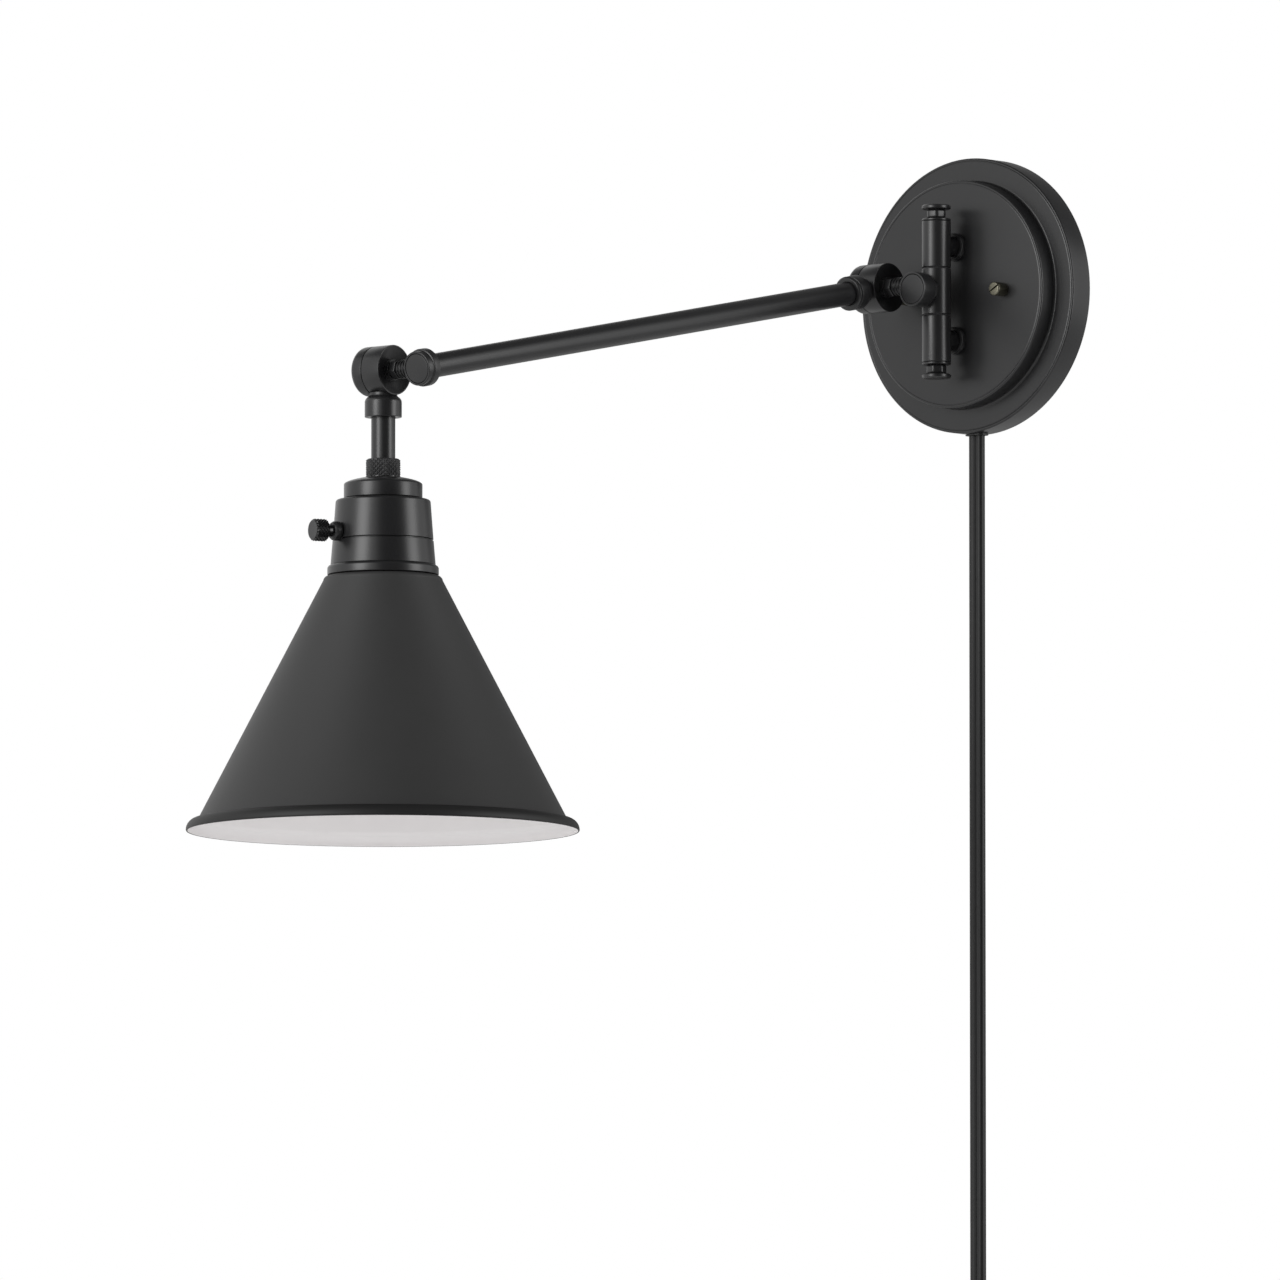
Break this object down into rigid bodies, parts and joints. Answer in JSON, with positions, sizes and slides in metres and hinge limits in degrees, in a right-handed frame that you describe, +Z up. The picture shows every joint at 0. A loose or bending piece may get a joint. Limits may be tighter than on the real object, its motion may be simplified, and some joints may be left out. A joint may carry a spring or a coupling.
{
  "type": "swing arm wall sconce",
  "caption": "Plug-in swing arm wall sconce: stepped round canopy, vertical swivel hinge, tubular arm with friction knuckles, cone shade, turn-knob lamp holder, hanging cord.",
  "frame": {"origin": "centre of the mounting face on the wall, behind the middle of the canopy", "axes": "+X right along the wall, -Y out into the room, +Z up; the wall is the plane y = 0"},
  "size_m": [0.244, 0.5344, 0.8175],
  "materials": {
    "satin_black_metal": "satin black powder coat",
    "matte_black_metal": "matte black outside, white enamel inside",
    "zinc_steel": "zinc plated",
    "brass": "aged, pale",
    "black_plastic": "moulded, fine texture",
    "nylon": "natural matte",
    "cord_pvc": "smooth PVC",
    "phenolic": "moulded phenolic"
  },
  "bodies": {
    "wall_mount": {"canopy": "satin_black_metal", "crossbar": "zinc_steel", "canopy_screw_left": "brass", "canopy_screw_right": "brass", "upper_bracket": "satin_black_metal", "lower_bracket": "satin_black_metal", "upper_rosette": "satin_black_metal", "lower_rosette": "satin_black_metal", "upper_bracket_nut": "zinc_steel", "lower_bracket_nut": "zinc_steel", "hinge_pin": "zinc_steel", "upper_thrust_washer": "nylon", "lower_thrust_washer": "nylon", "upper_finial": "satin_black_metal", "lower_finial": "satin_black_metal", "cord_bushing": "black_plastic", "splice_cap_live": "black_plastic", "splice_cap_neutral": "black_plastic", "conductor_live": "cord_pvc", "conductor_neutral": "cord_pvc", "cord_lead": "cord_pvc", "cord_hank": "cord_pvc", "cord_tail": "cord_pvc", "cord_tie": "nylon", "plug_body": "black_plastic", "plug_blade_wide": "brass", "plug_blade_narrow": "brass"},
    "swivel": {"swivel_barrel": "satin_black_metal", "swivel_end_disc": "satin_black_metal", "shoulder_stud": "satin_black_metal", "shoulder_nut": "satin_black_metal", "shoulder_washers": "satin_black_metal", "shoulder_lock_nut": "zinc_steel"},
    "arm": {"shoulder_drum": "satin_black_metal", "shoulder_cap": "satin_black_metal", "arm_collar": "satin_black_metal", "arm_tube": "satin_black_metal", "arm_end_fitting": "satin_black_metal", "arm_end_disc": "satin_black_metal", "elbow_stud": "satin_black_metal", "elbow_nut": "satin_black_metal", "elbow_washers": "satin_black_metal", "elbow_lock_nut": "zinc_steel"},
    "head": {"elbow_drum": "satin_black_metal", "elbow_cap": "satin_black_metal", "stem_collar": "satin_black_metal", "stem_tube": "satin_black_metal", "stem_nut": "satin_black_metal", "socket_cap": "satin_black_metal", "socket_housing": "satin_black_metal", "shade_fitter": "satin_black_metal", "shade_ring": "satin_black_metal", "shade": "matte_black_metal", "lamp_holder": "phenolic", "screw_shell": "brass", "centre_contact": "brass", "shade_retaining_ring": "phenolic", "switch_barrel": "brass", "switch_nut": "satin_black_metal"},
    "switch": {"switch_knob": "satin_black_metal"}
  },
  "joints": [
    {"name": "arm_swing", "type": "hinge", "parent": "wall_mount", "child": "swivel", "pos_m": [0, -0.0408, 0], "axis": [0, 0, 1], "range_deg": [-9, 85]},
    {"name": "arm_tilt", "type": "hinge", "parent": "swivel", "child": "arm", "pos_m": [-0.031, -0.0538, 0.003], "axis": [1, 0, 0], "range_deg": [-55, 40]},
    {"name": "head_tilt", "type": "hinge", "parent": "arm", "child": "head", "pos_m": [-0.062, -0.4286, -0.0702], "axis": [1, 0, 0], "range_deg": [-90, 50]},
    {"name": "switch_turn", "type": "hinge", "parent": "head", "child": "switch", "pos_m": [-0.062, -0.4286, -0.1581], "axis": [-0.3338, -0.9426, 0], "continuous": true}
  ]
}
